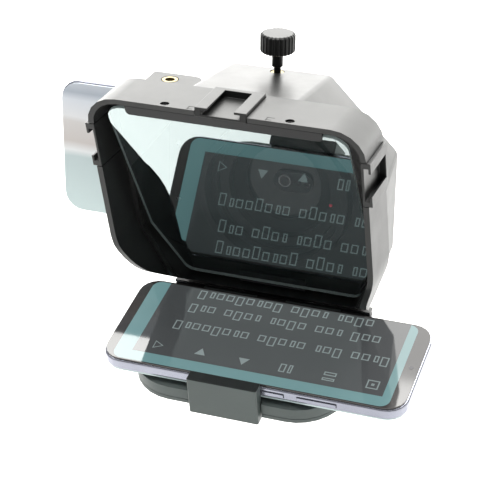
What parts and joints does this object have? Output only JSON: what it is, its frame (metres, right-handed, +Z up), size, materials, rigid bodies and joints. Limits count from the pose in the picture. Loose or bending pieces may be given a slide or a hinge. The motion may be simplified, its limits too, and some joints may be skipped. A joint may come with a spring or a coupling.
{
  "type": "smartphone teleprompter",
  "caption": "Phone teleprompter: leaning hood with beam-splitter glass, fold-down display tray with a phone, lens opening and a rear clamp holding a camera phone.",
  "frame": {"origin": "on the underside of the tripod foot, below the housing's rear face, in the middle of its width", "axes": "+Z up, +Y from the talent towards the camera phone, +X to the right as the talent looks at it"},
  "size_m": [0.219, 0.1097, 0.1781],
  "materials": {
    "black_plastic": "fine satin moulded black",
    "dark_metal": "satin black coating",
    "steel": "plain steel",
    "brass": "machined",
    "rubber": "matt black",
    "splitter_glass": "half-silvered front face, faint blue-green tint",
    "phone_glass": "polished black cover glass",
    "phone_frame": "polished pale blue anodised",
    "phone_back": "polished pearl white",
    "lens_black": "dark coated lens"
  },
  "bodies": {
    "housing": {"hood_frame": "black_plastic", "rear_housing": "black_plastic", "cold_shoe_top": "black_plastic", "cold_shoe_left": "black_plastic", "cold_shoe_right": "black_plastic", "beam_splitter_glass": "splitter_glass", "glass_top_bar": "black_plastic", "glass_foot_clip": "black_plastic", "bar_screw_left": "dark_metal", "bar_screw_right": "dark_metal", "thumb_screw_insert": "brass", "hinge_bracket": "black_plastic", "hinge_pin": "steel", "clamp_bracket": "dark_metal", "bracket_screw_low": "steel", "bracket_screw_high": "steel", "clamp_body": "black_plastic", "clamp_spring_left": "steel", "clamp_spring_right": "steel", "tripod_foot": "dark_metal", "foot_insert": "brass", "foot_screw_left": "steel", "foot_screw_right": "steel"},
    "lens_adapter": {"adapter_ring": "black_plastic", "step_ring": "black_plastic", "lens_mask": "rubber"},
    "screw_pad": {"thumb_screw_pad": "brass"},
    "thumb_screw": {"thumb_screw_knob": "black_plastic", "thumb_screw_shaft": "dark_metal"},
    "tray": {"tray_upper_shell": "black_plastic", "tray_lower_shell": "black_plastic", "tray_pad_left": "rubber", "tray_pad_right": "rubber"},
    "jaw": {"tray_jaw": "black_plastic", "tray_jaw_pad": "rubber"},
    "jaw_spring": {"tray_spring_drum": "steel"},
    "display_phone": {"display_phone_frame": "phone_frame", "display_phone_back": "phone_back", "display_phone_display": "phone_glass"},
    "display_power_key": {"display_phone_power_key": "phone_frame"},
    "display_volume_key": {"display_phone_volume_key": "phone_frame"},
    "upper_clamp": {"clamp_jaw": "black_plastic", "clamp_insert": "brass", "clamp_rod_left": "steel", "clamp_rod_right": "steel"},
    "camera_phone": {"camera_phone_frame": "phone_frame", "camera_phone_back": "phone_back", "camera_phone_display": "phone_glass", "camera_phone_bump": "phone_frame", "camera_phone_lens": "lens_black"},
    "camera_power_key": {"camera_phone_power_key": "phone_frame"},
    "camera_volume_key": {"camera_phone_volume_key": "phone_frame"}
  },
  "joints": [
    {"name": "tray_fold", "type": "hinge", "parent": "housing", "child": "tray", "pos_m": [0, -0.0069, 0.0093], "axis": [1, 0, 0], "range_deg": [-10, 25]},
    {"name": "tray_jaw_slide", "type": "slide", "parent": "tray", "child": "jaw", "axis": [0, -0.9781, -0.2079], "range_m": [0, 0.014], "stiffness_N_per_m": 150, "springref_m": -0.01},
    {"name": "jaw_spring_turn", "type": "hinge", "parent": "tray", "child": "jaw_spring", "pos_m": [0, -0.02956, -0.00196], "axis": [1, 0, 0], "range_deg": [0, 300]},
    {"name": "display_phone_slide", "type": "slide", "parent": "tray", "child": "display_phone", "axis": [1, 0, 0], "range_m": [0, 0.02]},
    {"name": "display_power_press", "type": "slide", "parent": "display_phone", "child": "display_power_key", "axis": [0, 0.9781, 0.2079], "range_m": [0, 0.0004], "stiffness_N_per_m": 900, "springref_m": -0.0004},
    {"name": "display_volume_press", "type": "slide", "parent": "display_phone", "child": "display_volume_key", "axis": [0, 0.9781, 0.2079], "range_m": [0, 0.0004], "stiffness_N_per_m": 900, "springref_m": -0.0004},
    {"name": "adapter_ring_spin", "type": "hinge", "parent": "housing", "child": "lens_adapter", "pos_m": [0, 0, 0.071], "axis": [0, 1, 0], "continuous": true},
    {"name": "thumb_screw_travel", "type": "slide", "parent": "housing", "child": "screw_pad", "axis": [0, 0, 1], "range_m": [-0.0012, 0.003]},
    {"name": "thumb_screw_turn", "type": "hinge", "parent": "screw_pad", "child": "thumb_screw", "pos_m": [0, -0.006, 0.15], "axis": [0, 0, 1], "range_deg": [-600, 1500]},
    {"name": "clamp_jaw_slide", "type": "slide", "parent": "housing", "child": "upper_clamp", "axis": [0, 0, 1], "range_m": [0, 0.015], "stiffness_N_per_m": 250, "springref_m": -0.012, "deforming": ["clamp_spring_left", "clamp_spring_right"]},
    {"name": "camera_phone_slide", "type": "slide", "parent": "housing", "child": "camera_phone", "axis": [1, 0, 0], "range_m": [-0.006, 0.004]},
    {"name": "camera_power_press", "type": "slide", "parent": "camera_phone", "child": "camera_power_key", "axis": [0, 0, 1], "range_m": [0, 0.0004], "stiffness_N_per_m": 900, "springref_m": -0.0004},
    {"name": "camera_volume_press", "type": "slide", "parent": "camera_phone", "child": "camera_volume_key", "axis": [0, 0, 1], "range_m": [0, 0.0004], "stiffness_N_per_m": 900, "springref_m": -0.0004}
  ],
  "couplings": [
    {"joint": "jaw_spring_turn", "follows": "tray_jaw_slide", "rad_per_m": 370}
  ]
}
